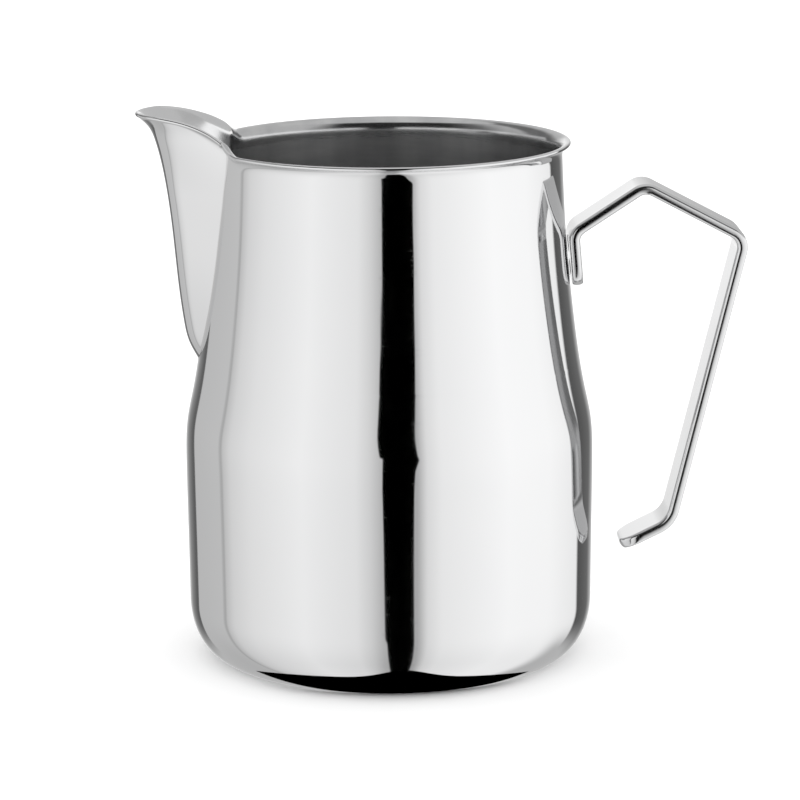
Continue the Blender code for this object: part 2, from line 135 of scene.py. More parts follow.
# Fineness
COLUMNS = 240
SPOUT_COLUMNS = 72
BASE_RINGS = 14
CORNER_ROWS = 28
BELLY_ROWS = 52
WINDOW_ROWS = 84
ROW_CROWDING = 1.5  # 1 spaces the window's rows evenly; above it, they crowd towards the foot
LIP_ROWS = 16
EDGE_ROWS = 8
SEAM_POINTS = 400
SEAM_CROWDING = 2
SEAM_LIP_POINTS = 16
SEAM_SETTLING = 12  # rounds in which a row settles on the seam
BEAD_ACROSS = 6
BEND_STEPS = 20
STRAIGHT_STEP = 0.8 * MM
END_STATIONS, CORNER_STATIONS = 7, 5
END_CLEARANCE = 1.1 * STRIP_END_RADIUS
FACE_COLUMNS = 26
EDGE_COLUMNS = 9
CROWN_COLUMNS = 5
SHARP_ANGLE = math.radians(40)
SAME_PLACE = 1e-7
NUDGE = 1e-6
SLOPE_STEP = 1e-5

# Camera
TARGET = Vector((0.0, 0.0, 55 * MM))
DISTANCE = 0.8008
AZIMUTH, ELEVATION, ROLL = math.radians(-1.78), math.radians(11.87), math.radians(-0.43)
SENSOR_WIDTH, LENS = 36.0, 172.5
SHIFT = (0.01385, -0.0104)
CLIP_START, CLIP_END = 0.05, 50.0


# ---------------------------------------------------------------- the sheet's shape


def smoothstep(value, start, end):
    """0 at start and 1 at end, easing in and out."""
    t = np.clip((value - start) / (end - start), 0.0, 1.0)
    return t * t * (3.0 - 2.0 * t)


def natural_spline(knots, unit_size=MM):
    """A smooth curve through knots of height and value, as a function of the height in metres."""
    x, y = np.array(knots).T * [[MM], [unit_size]]
    step = np.diff(x)
    count = len(x)
    matrix = np.eye(count)
    right = np.zeros(count)
    for i in range(1, count - 1):
        matrix[i, i - 1 : i + 2] = step[i - 1], 2 * (step[i - 1] + step[i]), step[i]
        right[i] = 6 * ((y[i + 1] - y[i]) / step[i] - (y[i] - y[i - 1]) / step[i - 1])
    bend = np.linalg.solve(matrix, right)

    def value(at):
        i = np.clip(np.searchsorted(x, at) - 1, 0, count - 2)
        a, b, h = x[i + 1] - at, at - x[i], step[i]
        inside = (
            (bend[i] * a**3 + bend[i + 1] * b**3) / (6 * h)
            + (y[i] / h - bend[i] * h / 6) * a
            + (y[i + 1] / h - bend[i + 1] * h / 6) * b
        )
        last = count - 2
        slope = (y[-1] - y[-2]) / step[last] + bend[last] * step[last] / 6
        return np.where(at > x[-1], y[-1] + slope * (at - x[-1]), inside)

    return value


wall_radius = natural_spline(WALL_KNOTS)
nose_proud = natural_spline(NOSE_KNOTS)
flank_facing = natural_spline(FLANK_KNOTS, math.radians(1))
FOOT_HEIGHT = NOSE_KNOTS[0][0] * MM


def from_front(bearing):
    """Angle between a bearing and the spout's, to either side."""
    return np.abs((bearing + math.pi) % (2 * math.pi) - math.pi)


def spout_section(height):
    """The spout's outline at a height: nose circle, flank line and fillet, as one dictionary."""
    wall = wall_radius(height)
    reach = wall + np.maximum(nose_proud(height), 0.0)
    nose = NOSE_RADIUS_LOW + (NOSE_RADIUS_TOP - NOSE_RADIUS_LOW) * smoothstep(
        height, NOSE_RADIUS_FROM, NOSE_RADIUS_TO
    )
    facing = flank_facing(height)
    fillet = FILLET_LOW + (FILLET_TOP - FILLET_LOW) * smoothstep(height, FILLET_FROM, FILLET_TO)
    centre = reach - nose
    outer = wall + fillet
    flank = centre * np.cos(facing) + nose
    cosine = (centre**2 + outer**2 - (nose + fillet) ** 2) / (2 * centre * outer)
    direct = np.arccos(np.clip(cosine, -1, 1))
    contact = np.arctan2(outer * np.sin(direct), outer * np.cos(direct) - centre)
    flanked = facing - np.arccos(np.clip((flank + fillet) / outer, -1, 1))
    has_flank = contact > facing
    fillet_end = np.where(has_flank, flanked, direct)
    touch = np.where(has_flank, facing, contact)
    nose_end = np.arctan2(nose * np.sin(touch), centre + nose * np.cos(touch))
    flank_end = np.arctan2(
        outer * np.sin(fillet_end) - fillet * np.sin(touch),
        outer * np.cos(fillet_end) - fillet * np.cos(touch),
    )
    present = height > FOOT_HEIGHT
    return {
        "wall": wall,
        "nose": nose,
        "centre": centre,
        "facing": facing,
        "flank": flank,
        "fillet": fillet,
        "outer": outer,
        "nose_end": np.where(present, nose_end, 0.0),
        "flank_end": np.where(present, flank_end, 0.0),
        "fillet_end": np.where(present, fillet_end, 0.0),
    }


def skin_radius(bearing, height):
    """Distance of the outer skin from the axis."""
    s = spout_section(height)
    side = from_front(bearing)
    nose_root = s["nose"] ** 2 - (s["centre"] * np.sin(side)) ** 2
    nose = s["centre"] * np.cos(side) + np.sqrt(np.maximum(nose_root, 0.0))
    flank = s["flank"] / np.cos(np.clip(side - s["facing"], -FLANK_SIGHT, FLANK_SIGHT))
    off = side - s["fillet_end"]
    fillet_root = s["fillet"] ** 2 - (s["outer"] * np.sin(off)) ** 2
    fillet = s["outer"] * np.cos(off) - np.sqrt(np.maximum(fillet_root, 0.0))
    stretches = [side < s["nose_end"], side < s["flank_end"], side < s["fillet_end"]]
    return np.select(stretches, [nose, flank, fillet], s["wall"])


def on_skin(bearing, height):
    """Position on the outer skin, below its flare."""
    radius = skin_radius(bearing, height)
    return np.stack([-radius * np.cos(bearing), -radius * np.sin(bearing), height], -1)


def unit(vectors):
    return vectors / np.linalg.norm(vectors, axis=-1, keepdims=True)


def flare_reach(turn, haste, share):
    """How far out and up a flare of unit length has gone at a share of its length."""
    places, weights = np.polynomial.legendre.leggauss(FLARE_SAMPLES)
    turn, haste, share = (np.asarray(v, float)[..., None] for v in (turn, haste, share))
    angle = turn * (share * (places + 1) / 2) ** haste
    weights = weights * share / 2
    return (weights * np.sin(angle)).sum(-1), (weights * np.cos(angle)).sum(-1)


def edge_shape(bearing):
    """Neck height, flare length, flare turn and haste of the sheet's edge at a bearing."""
    side = from_front(bearing)
    fade = smoothstep(side, CURL_START, CURL_END)
    length = RIM_FLARE + (SPOUT_FLARE - RIM_FLARE) * fade
    turn = RIM_TURN + (SPOUT_TURN - RIM_TURN) * fade
    haste = RIM_HASTE + (SPOUT_HASTE - RIM_HASTE) * fade
    edge_height = RIM_HEIGHT + SPOUT_RISE * smoothstep(side, RISE_START, RISE_END)
    crest = np.minimum(1.0, math.pi / 2 / turn) ** (1 / haste)
    _, rise = flare_reach(turn, haste, crest)
    neck = edge_height - length * rise - SHEET * np.sin(np.minimum(turn, math.pi / 2))
    return neck, length, turn, haste


def neck_station(bearing, start, share):
    """The station at a share of the way from start up to where the flare begins."""
    neck = edge_shape(bearing)[0]
    return start + share * (neck - start)


def lip_station(bearing, share):
    """The station at a share of the way round the flare, which stops short for its rounded edge."""
    neck, length, _, _ = edge_shape(bearing)
    return neck + (length - SHEET / 2) * share


def skin_point(bearing, station, depth):
    """Position of a place on the sheet; all three may be arrays."""
    bearing, station = np.broadcast_arrays(bearing, station)
    neck, length, turn, haste = edge_shape(bearing)
    height = np.minimum(station, neck)
    point = on_skin(bearing, height)
    along = on_skin(bearing + NUDGE, height) - on_skin(bearing - NUDGE, height)
    rising = on_skin(bearing, height + NUDGE) - on_skin(bearing, height - NUDGE)
    normal = unit(np.cross(along, rising))
    up = np.array([0.0, 0.0, 1.0])
    climb = unit(up - normal * normal[..., 2:])
    share = np.maximum(station - neck, 0.0) / length
    out, rise = flare_reach(turn, haste, share)
    angle = turn * share**haste
    out = length * out - depth * np.cos(angle)
    rise = length * rise + depth * np.sin(angle)
    return point + out[..., None] * normal + rise[..., None] * climb


def seam_curve(offset):
    """Half of the weld seam moved sideways by offset, as bearings and stations from foot to edge."""
    heights = FOOT_HEIGHT + (RIM_HEIGHT - FOOT_HEIGHT) * np.linspace(0.0, 1.0, SEAM_POINTS) ** SEAM_CROWDING
    section = spout_section(heights)
    bearings = (section["flank_end"] + section["fillet_end"]) / 2
    necks = edge_shape(bearings)[0]
    top = np.argmin(heights < necks) - 1
    last = bearings[top]
    lip = lip_station(last, np.linspace(0.0, 1.0, SEAM_LIP_POINTS))
    stations = np.concatenate([heights[:top], lip])
    lengths = np.concatenate([bearings[:top], np.full(len(lip), last)]) * UNROLL_RADIUS
    both = np.stack([
        np.concatenate([-lengths[:0:-1], lengths]),
        np.concatenate([stations[:0:-1], stations]),
    ])
    tangent = np.gradient(both, axis=1)
    tangent /= np.linalg.norm(tangent, axis=0)
    moved = both + offset * np.stack([tangent[1], -tangent[0]])
    half = moved[:, len(stations) - 1 :]
    return half[0] / UNROLL_RADIUS, half[1]


class Seam:
    """One side of the weld seam, moved sideways by offset from its middle."""

    def __init__(self, offset):
        self.bearings, self.stations = seam_curve(offset)
        self.foot = self.stations[0]

    def bearing(self, station):
        return float(np.interp(station, self.stations, self.bearings, left=0.0))

    def bearing_of_row(self, row_station):
        """Where a row, given as its station at each bearing, meets the seam."""
        bearing = self.bearings[-1]
        for _ in range(SEAM_SETTLING):
            bearing = self.bearing(row_station(bearing))
        return bearing


# ---------------------------------------------------------------- meshes


def make_piece(name, points, faces, face_materials, materials):
    """A smooth object from points and faces, with coinciding points joined."""
    mesh = bpy.data.meshes.new(name)
    mesh.from_pydata([tuple(p) for p in points], [], faces)
    for material in materials:
        mesh.materials.append(material)
    mesh.polygons.foreach_set("material_index", np.array(face_materials, np.int32))
    mesh_data = bmesh.new()
    mesh_data.from_mesh(mesh)
    bmesh.ops.remove_doubles(mesh_data, verts=mesh_data.verts, dist=SAME_PLACE)
    bmesh.ops.recalc_face_normals(mesh_data, faces=mesh_data.faces)
    if mesh_data.calc_volume(signed=True) < 0:
        bmesh.ops.reverse_faces(mesh_data, faces=mesh_data.faces)
    mesh_data.to_mesh(mesh)
    mesh_data.free()
    mesh.shade_smooth()
    mesh.set_sharp_from_angle(angle=SHARP_ANGLE)
    piece = bpy.data.objects.new(name, mesh)
    bpy.context.scene.collection.objects.link(piece)
    return piece


class Patchwork:
    """Collects grids of points and the faces between them."""

    def __init__(self):
        self.points = []
        self.faces = []
        self.face_materials = []

    def add_points(self, grid):
        """Adds a grid of points, and gives their numbers in the same shape."""
        grid = np.asarray(grid)
        first = len(self.points)
        self.points.extend(grid.reshape(-1, 3))
        return first + np.arange(grid[..., 0].size).reshape(grid.shape[:-1])

    def add_faces(self, numbers, row_materials):
        """Faces of a numbered grid. row_materials gives one material for each pair of rows."""
        corners = np.stack(
            [numbers[:-1, :-1], numbers[:-1, 1:], numbers[1:, 1:], numbers[1:, :-1]], -1
        )
        for row, material in zip(corners, np.broadcast_to(row_materials, len(corners))):
            self.faces.extend(row.tolist())
            self.face_materials.extend([int(material)] * len(row))


def rounded_edge(bearings, stations):
    """Rows round the sheet's edge, from the outer skin to the inner one, both left out."""
    outer = skin_point(bearings, stations, 0.0)
    inner = skin_point(bearings, stations, SHEET)
    middle = skin_point(bearings, stations, SHEET / 2)
    ahead = unit(skin_point(bearings, stations + NUDGE, SHEET / 2) - middle)
    outward = (outer - inner) / 2
    rows = []
    for k in range(1, EDGE_ROWS):
        angle = math.pi * k / EDGE_ROWS
        rows.append(middle + outward * math.cos(angle) + ahead * SHEET / 2 * math.sin(angle))
    return rows


def corner_profile():
    """Outer radius, height and outward normal of the rounded bottom corner, base to wall."""
    top = CORNER_TOP
    slope = (wall_radius(top + SLOPE_STEP) - wall_radius(top)) / SLOPE_STEP
    down = np.array([slope, 1.0]) / math.hypot(slope, 1.0)
    start = np.array([BASE_RADIUS, 0.0])
    end = np.array([float(wall_radius(top)), top])
    handles = (start + [CORNER_PULL_BASE, 0.0], end - down * CORNER_PULL_WALL)
    t = np.linspace(0.0, 1.0, CORNER_ROWS + 1)[:-1, None]
    points = (
        (1 - t) ** 3 * start
        + 3 * (1 - t) ** 2 * t * handles[0]
        + 3 * (1 - t) * t**2 * handles[1]
        + t**3 * end
    )
    along = unit(
        (1 - t) ** 2 * (handles[0] - start)
        + 2 * (1 - t) * t * (handles[1] - handles[0])
        + t**2 * (end - handles[1])
    )
    return points, np.stack([along[:, 1], -along[:, 0]], -1)


def ring(radius, height, bearings):
    return np.stack(
        [-radius * np.cos(bearings), -radius * np.sin(bearings), np.full_like(bearings, height)], -1
    )


def bottom_rows(bearings, depth):
    """Rows of one skin from the middle of the base up to the end of the rounded corner."""
    corner, normals = corner_profile()
    rows = [ring(BASE_RADIUS * k / BASE_RINGS, depth, bearings) for k in range(BASE_RINGS)]
    for (radius, height), (out_r, out_z) in zip(corner, normals):
        rows.append(ring(radius - depth * out_r, height - depth * out_z, bearings))
    return rows


def window_and_lip_rows(foot, shares):
    """Rows beside the window and round the flare, each as its station at any bearing."""
    rows = [lambda bearing, k=k: neck_station(bearing, foot, k) for k in shares**ROW_CROWDING]
    lip_shares = np.linspace(0.0, 1.0, LIP_ROWS + 1)[1:]
    return rows + [lambda bearing, k=k: lip_station(bearing, k) for k in lip_shares]


def build_body(materials):
    """The cup: rows from the middle of the base to the lip, open at the spout's window."""
    polished, spun, satin = range(3)
    window = Seam(BEAD_WIDTH / 2 - BEAD_OVERLAP)
    shares = np.linspace(0.0, 1.0, COLUMNS + 1)
    row_stations = [
        lambda bearing, h=h: np.full_like(np.asarray(bearing, float), h)
        for h in np.linspace(CORNER_TOP, window.foot, BELLY_ROWS)
    ]
    row_stations += window_and_lip_rows(window.foot, np.linspace(0.0, 1.0, WINDOW_ROWS + 1)[1:])
    outer = bottom_rows(2 * math.pi * shares, 0.0)
    inner = bottom_rows(2 * math.pi * shares, SHEET)
    bottom = len(outer)
    for row in row_stations:
        start = window.bearing_of_row(row)
        bearings = start + (2 * math.pi - 2 * start) * shares
        stations = row(bearings)
        outer.append(skin_point(bearings, stations, 0.0))
        inner.append(skin_point(bearings, stations, SHEET))
    edge = rounded_edge(bearings, stations)
    rows = outer + edge + inner[::-1]
    row_materials = np.full(len(rows) - 1, polished)
    row_materials[:BASE_RINGS] = spun
    row_materials[len(outer) + len(edge) :] = satin
    work = Patchwork()
    numbers = work.add_points(rows)
    work.add_faces(numbers, row_materials)
    add_sides(work, numbers, len(outer), len(edge), bottom + BELLY_ROWS - 1)
    return make_piece("pitcher_body", work.points, work.faces, work.face_materials, materials)


def add_sides(work, numbers, outer_rows, edge_rows, first_open):
    """Closes both sides of a sheet whose rows run up its outer skin and down its inner one."""
    total = len(numbers)
    for column in (0, -1):
        for low in range(first_open, outer_rows - 1):
            high = low + 1
            corners = [low, high, total - 1 - high, total - 1 - low]
            work.faces.append([int(numbers[row, column]) for row in corners])
            work.face_materials.append(0)
        rim = numbers[outer_rows - 1 : outer_rows + edge_rows + 1, column]
        work.faces.append([int(n) for n in rim])
        work.face_materials.append(0)


def build_spout(materials):
    """The spout: rows from its foot to its lip, from seam to seam."""
    side = Seam(-BEAD_WIDTH / 2 + BEAD_OVERLAP)
    shares = np.linspace(-1.0, 1.0, SPOUT_COLUMNS + 1)
    outer, inner = [], []
    for row in window_and_lip_rows(side.foot, np.linspace(0.0, 1.0, WINDOW_ROWS + 1)):
        bearings = side.bearing_of_row(row) * shares
        stations = row(bearings)
        outer.append(skin_point(bearings, stations, 0.0))
        inner.append(skin_point(bearings, stations, SHEET))
    edge = rounded_edge(bearings, stations)
    rows = outer + edge + inner[::-1]
    work = Patchwork()
    numbers = work.add_points(rows)
    row_materials = np.zeros(len(rows) - 1, int)
    row_materials[len(outer) + len(edge) :] = 1
    work.add_faces(numbers, row_materials)
    add_sides(work, numbers, len(outer), len(edge), 0)
    return make_piece("pitcher_spout", work.points, work.faces, work.face_materials, materials)


def bead_line(across, face):
    """One line along the weld on one of its faces, from lip to lip round the spout's foot."""
    bearings, stations = seam_curve(across * BEAD_WIDTH / 2)
    sunk = BEAD_SINK - (BEAD_SINK + BEAD_CROWN) * (1 - across**2)
    half = skin_point(bearings, stations, SHEET - sunk if face else sunk)
    edge = [row[0] for row in rounded_edge(bearings[-1:], stations[-1:])]
    if face:
        edge = edge[::-1]
    half = np.concatenate([half, edge[: EDGE_ROWS // 2]])
    return np.concatenate([half[:0:-1] * [1, -1, 1], half])


def build_bead(material):
    """The weld: a ribbon of sheet thickness, very slightly crowned on both of its faces."""
    places = np.linspace(-1.0, 1.0, BEAD_ACROSS + 1)
    lines = [bead_line(across, 0) for across in places]
    lines += [bead_line(across, 1) for across in places[::-1]]
    work = Patchwork()
    numbers = work.add_points(np.array(lines))
    work.add_faces(np.concatenate([numbers, numbers[:1]]), 0)
    return make_piece("spout_weld", work.points, work.faces, work.face_materials, [material])


# ---------------------------------------------------------------- handle


def handle_path():
    """Middle line of the strip in the XZ plane, from the tab's end to the tail's end."""
    corners = [TAB_BOTTOM] + [corner for corner, _ in HANDLE_BENDS] + [TAIL_END]
    corners = [np.array(corner) for corner in corners]
    bends = []
    for before, corner, after, (_, radius) in zip(corners, corners[1:], corners[2:], HANDLE_BENDS):
        into, out = unit(corner - before), unit(after - corner)
        turn = math.acos(float(np.clip(into @ out, -1, 1)))
        reach = radius * math.tan(turn / 2)
        centre = corner + unit(out - into) * radius / math.cos(turn / 2)
        start = corner - into * reach - centre
        angles = np.linspace(0.0, turn, BEND_STEPS + 1)[:, None]
        bends.append(centre + start * np.cos(angles) + into * radius * np.sin(angles))
    points = [corners[0][None]]
    for bend in bends + [corners[-1][None]]:
        last = points[-1][-1]
        count = max(int(np.linalg.norm(bend[0] - last) / STRAIGHT_STEP), 1)
        points.append(last + (bend[0] - last) * (np.arange(1, count)[:, None] / count))
        points.append(bend)
    return np.concatenate(points)


def length_along(path):
    return np.concatenate([[0.0], np.cumsum(np.linalg.norm(np.diff(path, axis=0), axis=1))])


def with_end_stations(path):
    """Adds stations near both ends, where the strip is rounded off."""
    close = STRIP_END_ROUNDING * (1 - np.cos(np.linspace(0.0, math.pi / 2, END_STATIONS)))
    wide = np.linspace(STRIP_END_ROUNDING, STRIP_END_RADIUS, CORNER_STATIONS + 1)[1:]
    offsets = np.concatenate([close, wide])[:, None]
    head = path[0] + unit(path[1] - path[0]) * offsets
    tail = path[-1] + unit(path[-2] - path[-1]) * offsets[::-1]
    travelled = length_along(path)
    inside = (travelled > END_CLEARANCE) & (travelled < travelled[-1] - END_CLEARANCE)
    return np.concatenate([head, path[inside], tail])


def edge_profile():
    """One edge of the strip from face to face: places out from the edge's foot and through it."""
    crown_end = math.asin((STRIP_THICKNESS / 2 - EDGE_CORNER) / (EDGE_CROWN - EDGE_CORNER))
    corner = np.linspace(math.pi / 2, crown_end, EDGE_COLUMNS)
    crown = np.linspace(crown_end, 0.0, CROWN_COLUMNS)[1:]
    drop = EDGE_CROWN * (1 - math.cos(crown_end)) + EDGE_CORNER * (math.cos(crown_end) - np.cos(corner))
    height = STRIP_THICKNESS / 2 - EDGE_CORNER * (1 - np.sin(corner))
    half = [(-d, t) for d, t in zip(drop, height)]
    half += [(-EDGE_CROWN * (1 - math.cos(a)), EDGE_CROWN * math.sin(a)) for a in crown]
    return half + [(w, -t) for w, t in half[-2::-1]]


def strip_outline(half_width, half_thickness):
    """Cross-section: places across the width and through the thickness, once round."""
    profile = edge_profile()
    thinning = half_thickness / (STRIP_THICKNESS / 2)
    flat = half_width + profile[0][0]
    outline = []
    for side in (1, -1):
        for k in range(1, FACE_COLUMNS):
            across = flat * (2 * k / FACE_COLUMNS - 1)
            outline.append((side * across, side * half_thickness))
        outline += [(side * (half_width + w), side * t * thinning) for w, t in profile]
    return outline


def build_handle(material):
    """The strip: one cross-section at each station, drawn in to nothing at both ends."""
    path = with_end_stations(handle_path())
    travelled = length_along(path)
    rings = []
    for i, (x, z) in enumerate(path):
        before, after = path[max(i - 1, 0)], path[min(i + 1, len(path) - 1)]
        along = unit(after - before)
        left = np.array([-along[1], along[0]])
        distance = min(travelled[i], travelled[-1] - travelled[i])
        short = max(STRIP_END_RADIUS - distance, 0.0)
        half = STRIP_WIDTH / 2 - STRIP_END_RADIUS + math.sqrt(STRIP_END_RADIUS**2 - short**2)
        thin = max(1 - distance / STRIP_END_ROUNDING, 0.0)
        half_thickness = STRIP_THICKNESS / 2 * math.sqrt(max(1 - thin**2, 0.0))
        points = []
        for w, t in strip_outline(half, half_thickness):
            if t < 0:
                t += mark_depth(travelled[i], w) * min(half_thickness / STRIP_THICKNESS * 2, 1)
            points.append((x + left[0] * t, w, z + left[1] * t))
        rings.append(points)
    work = Patchwork()
    numbers = work.add_points(np.array(rings))
    numbers = np.concatenate([numbers, numbers[:, :1]], 1)
    work.add_faces(numbers, 0)
    return make_piece("pitcher_handle", work.points, work.faces, work.face_materials, [material])


def mark_depth(distance, across):
    """Depth of the electrode marks at a place on the tab's outer face."""
    depth = 0.0
    for place in WELD_MARKS:
        share = math.hypot(distance - place, across) / WELD_MARK_RADIUS
        if share < 1:
            depth += WELD_MARK_DEPTH * (1 - share**2) ** 2
    return depth


# ---------------------------------------------------------------- materials


NOISE_ROUGHNESS = 0.55
SCRATCH_HEIGHT = 0.0025 * MM
WAVE_HEIGHT = 0.012 * MM  # unevenness left from forming, under the polish
SATIN_HEIGHT = 0.004 * MM
TURNING_HEIGHT = 0.008 * MM
WELD_HEIGHT = 0.003 * MM


class Nodes:
    """Short ways to add nodes and link them in one node tree."""

    def __init__(self, tree):
        self.tree = tree

    def add(self, kind, settings=None, **inputs):
        node = self.tree.nodes.new(kind)
        for name, value in (settings or {}).items():
            setattr(node, name, value)
        for name, value in inputs.items():
            self.plug(node.inputs[name.replace("_", " ")], value)
        return node

    def plug(self, socket, value):
        if isinstance(value, bpy.types.NodeSocket):
            self.tree.links.new(value, socket)
        else:
            socket.default_value = value

    def math(self, operation, *values):
        node = self.add("ShaderNodeMath", {"operation": operation})
        for socket, value in zip(node.inputs, values):
            self.plug(socket, value)
        return node.outputs[0]

    def between(self, value, low, high, to_low=0.0, to_high=1.0, smooth=True):
        """Maps value from low..high to to_low..to_high, held at both ends."""
        kind = "SMOOTHSTEP" if smooth else "LINEAR"
        node = self.add("ShaderNodeMapRange", {"interpolation_type": kind})
        for socket, given in zip(node.inputs, (value, low, high, to_low, to_high)):
            self.plug(socket, given)
        return node.outputs[0]

    def ramp(self, value, stops):
        """A colour ramp of grey stops, given as position and brightness."""
        node = self.add("ShaderNodeValToRGB", Fac=value)
        elements = node.color_ramp.elements
        while len(elements) < len(stops):
            elements.new(0.5)
        for element, (position, grey) in zip(elements, stops):
            element.position = position
            element.color = (grey, grey, grey, 1.0)
        return node.outputs[0]

    def stretched_noise(self, place, scale, rotation=(0, 0, 0), detail=3.0):
        """Noise whose grain is scale units per metre along each axis."""
        mapping = self.add("ShaderNodeMapping", Vector=place, Scale=scale, Rotation=rotation)
        noise = self.add(
            "ShaderNodeTexNoise",
            Vector=mapping.outputs[0],
            Scale=1.0,
            Detail=detail,
            Roughness=NOISE_ROUGHNESS,
        )
        return noise.outputs[0]

    def mixed_shade(self, shade, factor, darker, lighter):
        """A colour between two tints of a shade, each given as its red, green and blue share."""
        mix = self.add("ShaderNodeMix", {"data_type": "RGBA"}, Factor=factor)
        for socket, tint in (("A", darker), ("B", lighter)):
            mix.inputs[socket].default_value = (*(shade * part for part in tint), 1)
        return mix.outputs["Result"]

    def bump(self, height, strength, distance, **normal):
        return self.add(
            "ShaderNodeBump", Strength=strength, Distance=distance, Height=height, **normal
        ).outputs[0]


def new_steel(name):
    """An empty steel material: its nodes, its shader and the place on the piece."""
    material = bpy.data.materials.new(name)
    material.use_nodes = True
    nodes = Nodes(material.node_tree)
    shader = material.node_tree.nodes["Principled BSDF"]
    shader.inputs["Metallic"].default_value = 1.0
    place = nodes.add("ShaderNodeTexCoord").outputs["Object"]
    return material, nodes, shader, place


def hairlines(nodes, place, angle, density):
    """Thin scattered scratches, mostly along one direction: 1 on a scratch, 0 beside it."""
    turn = (math.radians(angle), math.radians(angle * 0.6), math.radians(angle * 0.3))
    streaks = nodes.stretched_noise(place, (density * 0.03, density * 0.03, density), turn, 1.0)
    patches = nodes.stretched_noise(place, (400, 400, 400), detail=0.0)
    lines = nodes.between(streaks, 0.68, 0.78)
    return nodes.math("MULTIPLY", lines, nodes.between(patches, 0.5, 0.65))


def polished_steel(name, shade, roughness, haze):
    """Mirror polish: faint waves from forming, buffing marks round the axis and hairlines."""
    material, nodes, shader, place = new_steel(name)
    clouds = nodes.stretched_noise(place, (55, 55, 55), detail=2.0)
    buffing = nodes.stretched_noise(place, (90, 90, 4200), detail=2.0)
    scratches = nodes.math(
        "MAXIMUM", hairlines(nodes, place, 20, 9000), hairlines(nodes, place, -50, 8000)
    )
    tint = nodes.mixed_shade(shade, clouds, (0.985, 0.988, 0.996), (1.01, 1.01, 1.012))
    nodes.plug(shader.inputs["Base Color"], tint)
    rough = nodes.between(clouds, 0.3, 0.7, roughness, roughness + haze, smooth=False)
    rough = nodes.math("ADD", rough, nodes.math("MULTIPLY", scratches, 0.05))
    nodes.plug(shader.inputs["Roughness"], rough)
    waves = nodes.stretched_noise(place, (38, 38, 24), detail=0.0)
    swell = nodes.bump(waves, 1.0, WAVE_HEIGHT)
    marks = nodes.math("SUBTRACT", nodes.math("MULTIPLY", buffing, 0.35), scratches)
    nodes.plug(shader.inputs["Normal"], nodes.bump(marks, 0.35, SCRATCH_HEIGHT, Normal=swell))
    return material


def satin_steel(name, shade, roughness, lip_roughness, lip_from, lip_to):
    """Satin finish: fine grain round the axis, tone lighter and darker in broad patches and in streaks up
    the wall, smoother towards the lip.
    """
    material, nodes, shader, place = new_steel(name)
    height = nodes.add("ShaderNodeSeparateXYZ", Vector=place).outputs[2]
    grain = nodes.stretched_noise(place, (300, 300, 9000), detail=2.0)
    broad = nodes.stretched_noise(place, (70, 70, 500), detail=2.0)
    streaks = nodes.stretched_noise(place, (150, 150, 5), detail=2.0)
    uneven = nodes.math(
        "ADD", nodes.math("MULTIPLY", broad, 0.4), nodes.math("MULTIPLY", streaks, 0.6)
    )
    uneven = nodes.between(uneven, 0.3, 0.7)
    tint = nodes.mixed_shade(shade, uneven, (0.86, 0.865, 0.875), (1.08, 1.08, 1.08))
    nodes.plug(shader.inputs["Base Color"], tint)
    rough = nodes.between(height, lip_from, lip_to, roughness, lip_roughness)
    rough = nodes.math("ADD", rough, nodes.between(grain, 0.3, 0.7, -0.03, 0.04, smooth=False))
    nodes.plug(shader.inputs["Roughness"], rough)
    shader.inputs["Anisotropic"].default_value = 0.5
    shader.inputs["Anisotropic Rotation"].default_value = 0.25
    tangent = nodes.add("ShaderNodeTangent", {"direction_type": "RADIAL", "axis": "Z"})
    nodes.plug(shader.inputs["Tangent"], tangent.outputs[0])
    nodes.plug(shader.inputs["Normal"], nodes.bump(grain, 0.35, SATIN_HEIGHT))
    return material


def spun_steel(name, shade, roughness):
    """Turned finish of the base: fine rings round the axis."""
    material, nodes, shader, place = new_steel(name)
    parts = nodes.add("ShaderNodeSeparateXYZ", Vector=place)
    x, y = parts.outputs[0], parts.outputs[1]
    radius = nodes.math(
        "SQRT", nodes.math("ADD", nodes.math("MULTIPLY", x, x), nodes.math("MULTIPLY", y, y))
    )
    rings = nodes.add("ShaderNodeCombineXYZ", X=x, Y=y, Z=radius).outputs[0]
    grain = nodes.stretched_noise(rings, (45, 45, 5200), detail=3.0)
    broad = nodes.stretched_noise(rings, (20, 20, 500), detail=1.0)
    tint = nodes.mixed_shade(shade, broad, (0.93, 0.935, 0.945), (1.03, 1.03, 1.03))
    nodes.plug(shader.inputs["Base Color"], tint)
    rough = nodes.between(grain, 0.3, 0.7, roughness - 0.06, roughness + 0.08, smooth=False)
    nodes.plug(shader.inputs["Roughness"], rough)
    nodes.plug(shader.inputs["Normal"], nodes.bump(grain, 0.6, TURNING_HEIGHT))
    return material


def weld_steel(name, shade, roughness):
    """Fused metal: small grains and heat-dulled patches."""
    material, nodes, shader, place = new_steel(name)
    grains = nodes.stretched_noise(place, (2200, 2200, 2200), detail=3.0)
    patches = nodes.stretched_noise(place, (420, 420, 420), detail=2.0)
    tint = nodes.mixed_shade(shade, patches, (0.95, 0.94, 0.93), (1.04, 1.04, 1.05))
    nodes.plug(shader.inputs["Base Color"], tint)
    rough = nodes.between(grains, 0.3, 0.7, roughness * 0.8, roughness * 1.3, smooth=False)
    nodes.plug(shader.inputs["Roughness"], rough)
    nodes.plug(shader.inputs["Normal"], nodes.bump(grains, 0.3, WELD_HEIGHT))
    return material


# ---------------------------------------------------------------- studio

